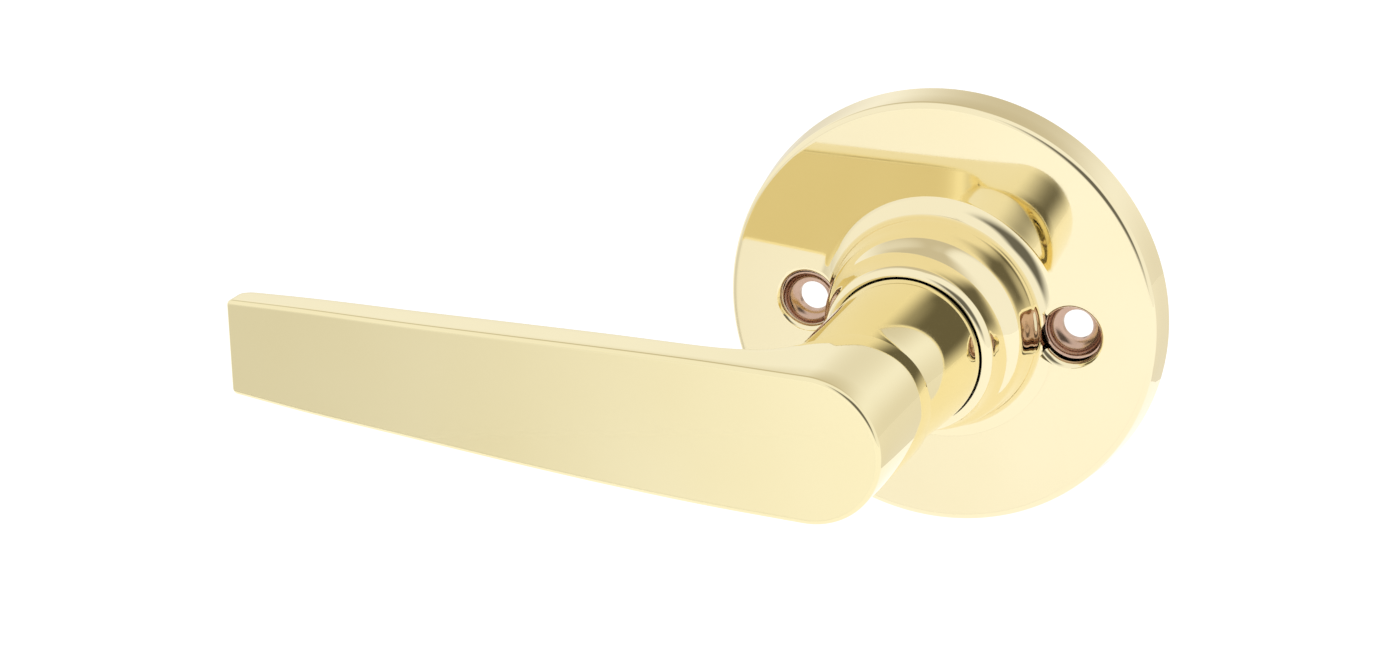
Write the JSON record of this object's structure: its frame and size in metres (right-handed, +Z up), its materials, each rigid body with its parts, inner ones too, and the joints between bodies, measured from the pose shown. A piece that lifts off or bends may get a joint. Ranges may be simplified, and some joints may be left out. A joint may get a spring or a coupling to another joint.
{
  "type": "lever handle lockset",
  "caption": "Inside half of a tubular passage lockset: polished brass lever on a round sprung rose with exposed screw openings.",
  "frame": {"origin": "centre of the rose's back face, on the spindle axis, in the plane of the door's surface", "axes": "+Y into the door along the spindle, +Z up, lever pointing to -X, room on the -Y side"},
  "size_m": [0.1216, 0.106, 0.0656],
  "materials": {
    "brass_cover": "polished, lacquered",
    "brass_lever": "polished, lacquered",
    "copper_plate": "copper-flashed steel",
    "zinc_steel": "zinc plated",
    "steel": "drawn, oiled",
    "spring_steel": "bright wire",
    "black_steel": "black oxide",
    "nylon": "natural nylon",
    "black_plastic": "moulded acetal"
  },
  "bodies": {
    "rose": {"rose_cover": "brass_cover", "mounting_plate": "copper_plate", "bearing_bush": "nylon", "spring_housing": "zinc_steel", "housing_rivets": "zinc_steel", "stop_pins": "steel", "spring_guides": "black_plastic", "return_spring_left": "spring_steel", "return_spring_right": "spring_steel", "thrust_washer": "nylon", "rear_bush": "nylon", "rear_washer": "zinc_steel"},
    "lever": {"lever_handle": "brass_lever", "spindle_sleeve": "steel", "set_screw": "black_steel", "spring_driver": "zinc_steel", "wave_washer": "spring_steel", "snap_ring": "black_steel", "spindle_pin": "steel"},
    "spindle": {"spindle": "steel"}
  },
  "joints": [
    {"name": "lever_turn", "type": "hinge", "parent": "rose", "child": "lever", "pos_m": [0, 0, 0], "axis": [0, 1, 0], "range_deg": [-45, 45], "stiffness_Nm_per_rad": 0.8, "springref_deg": 4.01, "deforming": ["return_spring_left", "return_spring_right"]},
    {"name": "spindle_float", "type": "slide", "parent": "lever", "child": "spindle", "axis": [0, 1, 0], "range_m": [-0.002, 0.002]}
  ]
}
